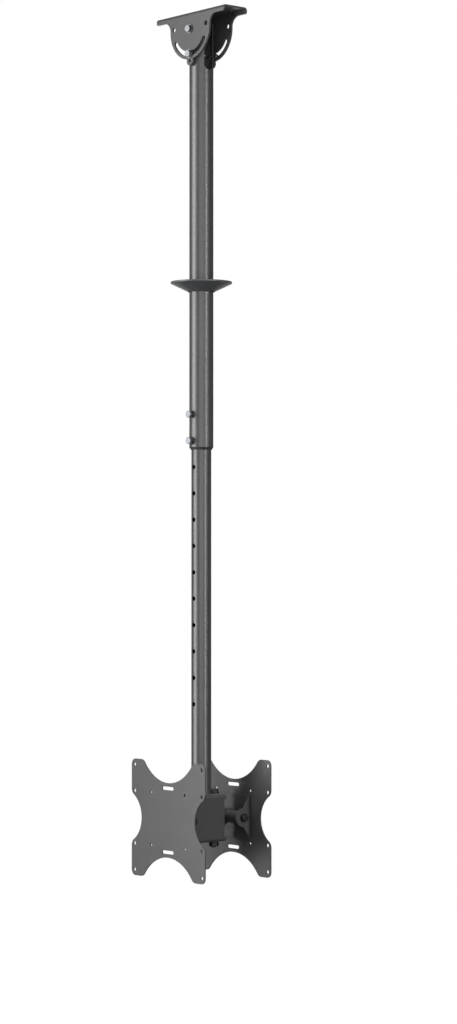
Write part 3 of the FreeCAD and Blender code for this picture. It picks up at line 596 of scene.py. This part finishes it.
def makeWeldBead():
    s = weldBead
    low, high = (Vector(corner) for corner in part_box("inner_tube"))
    clearSelection()
    bpy.ops.mesh.primitive_torus_add(major_radius=high.x, minor_radius=s["leg"] * mm,
                                     major_segments=s["ripples"] * s["rippleSteps"],
                                     minor_segments=s["sectionSides"], location=(0, 0, low.z))
    bead = bpy.context.object
    bead.name = "hub_weld_bead"
    bpy.ops.object.transform_apply(location=True)

    def ripple(place):
        turn = math.atan2(place.y, place.x)
        root = Vector((math.cos(turn) * high.x, math.sin(turn) * high.x, low.z))
        swell = 1 - s["rippleDepth"] * abs(math.sin(turn * s["ripples"] / 2))
        return root + (place - root) * swell

    moveVertices(bead, ripple)
    bpy.ops.object.shade_smooth()
    giveFinish(bead, "powder_coat")
    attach(bead, nodes["inner_tube"]["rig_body"])


makeWeldBead()
print("weld bead laid")


# stage: a pale floor that melts into a white surround
stageSettings = {
    "floor": "#f0f0ee", "size": 16,       # m
    "floorDrop": 0.86,                    # m below the part, which hangs
    "fadeFrom": 2.2, "fadeTo": 6.5,       # m from the middle
}


def makeStage():
    s = stageSettings
    clearSelection()
    floorHeight = cadBounds[0].z - s["floorDrop"]
    bpy.ops.mesh.primitive_plane_add(size=s["size"], location=(0, 0, floorHeight))
    floor = bpy.context.object
    floor.name = "studioFloor"
    material, tree, place = emptyMaterial("paleStudioFloor")
    far = addNode(tree, "ShaderNodeVectorMath", {"operation": "LENGTH"}, {0: place})
    fade = addNode(tree, "ShaderNodeMapRange", {"From Min": s["fadeFrom"], "From Max": s["fadeTo"],
                                                "interpolation_type": "SMOOTHSTEP"},
                   {"Value": far.outputs["Value"]})
    paint = addNode(tree, "ShaderNodeBsdfDiffuse", {"Color": hexColour(s["floor"])})
    clear = addNode(tree, "ShaderNodeBsdfTransparent")
    mixed = addNode(tree, "ShaderNodeMixShader", links={0: fade.outputs["Result"], 1: paint.outputs["BSDF"],
                                                        2: clear.outputs["BSDF"]})
    addNode(tree, "ShaderNodeOutputMaterial", links={"Surface": mixed.outputs["Shader"]})
    floor.data.materials.append(material)
    floor.visible_diffuse = False
    floor.visible_glossy = False


makeStage()


# light: a broad soft box in front, a strip to the right, a weak fill from the viewing side,
# one behind for the far side, a faint one just before that for its gloss, and an even light from above
# for the floor
lightSettings = {
    "aim": (0, 0, -0.8),
    # degrees from straight in front towards +X, then m and W
    "front": {"azimuth": -24, "distance": 2.6, "height": -0.6, "size": (1.7, 3.2), "power": 160},
    "right": {"azimuth": 99, "distance": 2.4, "height": -0.6, "size": (0.4, 2.6), "power": 52},
    "fill": {"azimuth": 52, "distance": 4.2, "height": -0.5, "size": (3.6, 3.2), "power": 105},
    "back": {"azimuth": 232, "distance": 3.2, "height": -0.8, "size": (2.2, 2.6), "power": 260},
    "sheen": {"azimuth": 232, "distance": 3.1, "height": -0.8, "size": (2.2, 2.6), "power": 26},
    "above": {"strength": 4.2, "angle": 25},
    "surround": 0.07, "backdrop": "#ffffff",
}


def standAt(azimuth, distance, height):
    angle = math.radians(azimuth)
    return Vector((math.sin(angle) * distance, -math.cos(angle) * distance, height))


def softBox(name):
    s = lightSettings[name]
    light = bpy.data.lights.new(name + "SoftBox", "AREA")
    light.shape = "RECTANGLE"
    light.size, light.size_y = s["size"]
    light.energy = s["power"]
    lamp = bpy.data.objects.new(name + "SoftBox", light)
    lamp.location = standAt(s["azimuth"], s["distance"], s["height"])
    aim = Vector(lightSettings["aim"]) - lamp.location
    lamp.rotation_euler = aim.to_track_quat("-Z", "Y").to_euler()
    bpy.context.scene.collection.objects.link(lamp)
    return lamp


def lightStage():
    for name in ("front", "right", "fill"):
        softBox(name)
    sun = bpy.data.lights.new("aboveLight", "SUN")
    sun.energy = lightSettings["above"]["strength"]
    sun.angle = math.radians(lightSettings["above"]["angle"])
    above = bpy.data.objects.new("aboveLight", sun)
    bpy.context.scene.collection.objects.link(above)
    # these two lift the far side and the floor, and leave no glare on the paint
    for lamp in (softBox("back"), above):
        lamp.visible_glossy = False
    # and this one only puts a faint gloss there
    softBox("sheen").visible_diffuse = False

    world = bpy.data.worlds.new("studio")
    bpy.context.scene.world = world
    world.use_nodes = True
    tree = world.node_tree
    tree.nodes.clear()
    # the backdrop is white to look at, and the room around it is dim
    seen = addNode(tree, "ShaderNodeLightPath")
    room = addNode(tree, "ShaderNodeBackground", {"Color": (1, 1, 1, 1), "Strength": lightSettings["surround"]})
    backdrop = addNode(tree, "ShaderNodeBackground", {"Color": hexColour(lightSettings["backdrop"])})
    mixed = addNode(tree, "ShaderNodeMixShader", links={0: seen.outputs["Is Camera Ray"],
                                                        1: room.outputs["Background"],
                                                        2: backdrop.outputs["Background"]})
    addNode(tree, "ShaderNodeOutputWorld", links={"Surface": mixed.outputs["Shader"]})
    bpy.context.scene.view_settings.view_transform = "Standard"


lightStage()


# camera, at the photograph's viewing angle
cameraSettings = {
    "azimuth": 50.26,        # degrees from straight in front, towards +X
    "distance": 5.1375,      # from the pole, m
    "height": -1.0488,       # below the ceiling, m
    "yaw": -0.577,           # degrees, sets the pole left of the middle
    "pitch": 1.088,          # degrees, looking slightly up
    "focalPixels": 2700.2,
    "imageHeight": 1024,     # the image's long side, pixels
    "sensor": 36,            # mm over the long side
}


def makeCamera():
    s = cameraSettings
    lens = bpy.data.cameras.new("photoCamera")
    lens.sensor_width = s["sensor"]
    lens.lens = s["focalPixels"] / s["imageHeight"] * s["sensor"]
    camera = bpy.data.objects.new("photoCamera", lens)
    camera.location = standAt(s["azimuth"], s["distance"], s["height"])
    turn, rise = math.radians(s["azimuth"] + s["yaw"]), math.radians(s["pitch"])
    ahead = Vector((-math.sin(turn) * math.cos(rise), math.cos(turn) * math.cos(rise), math.sin(rise)))
    camera.rotation_euler = ahead.to_track_quat("-Z", "Y").to_euler()
    bpy.context.scene.collection.objects.link(camera)
    bpy.context.scene.camera = camera


makeCamera()
print("stage, lights and camera set")
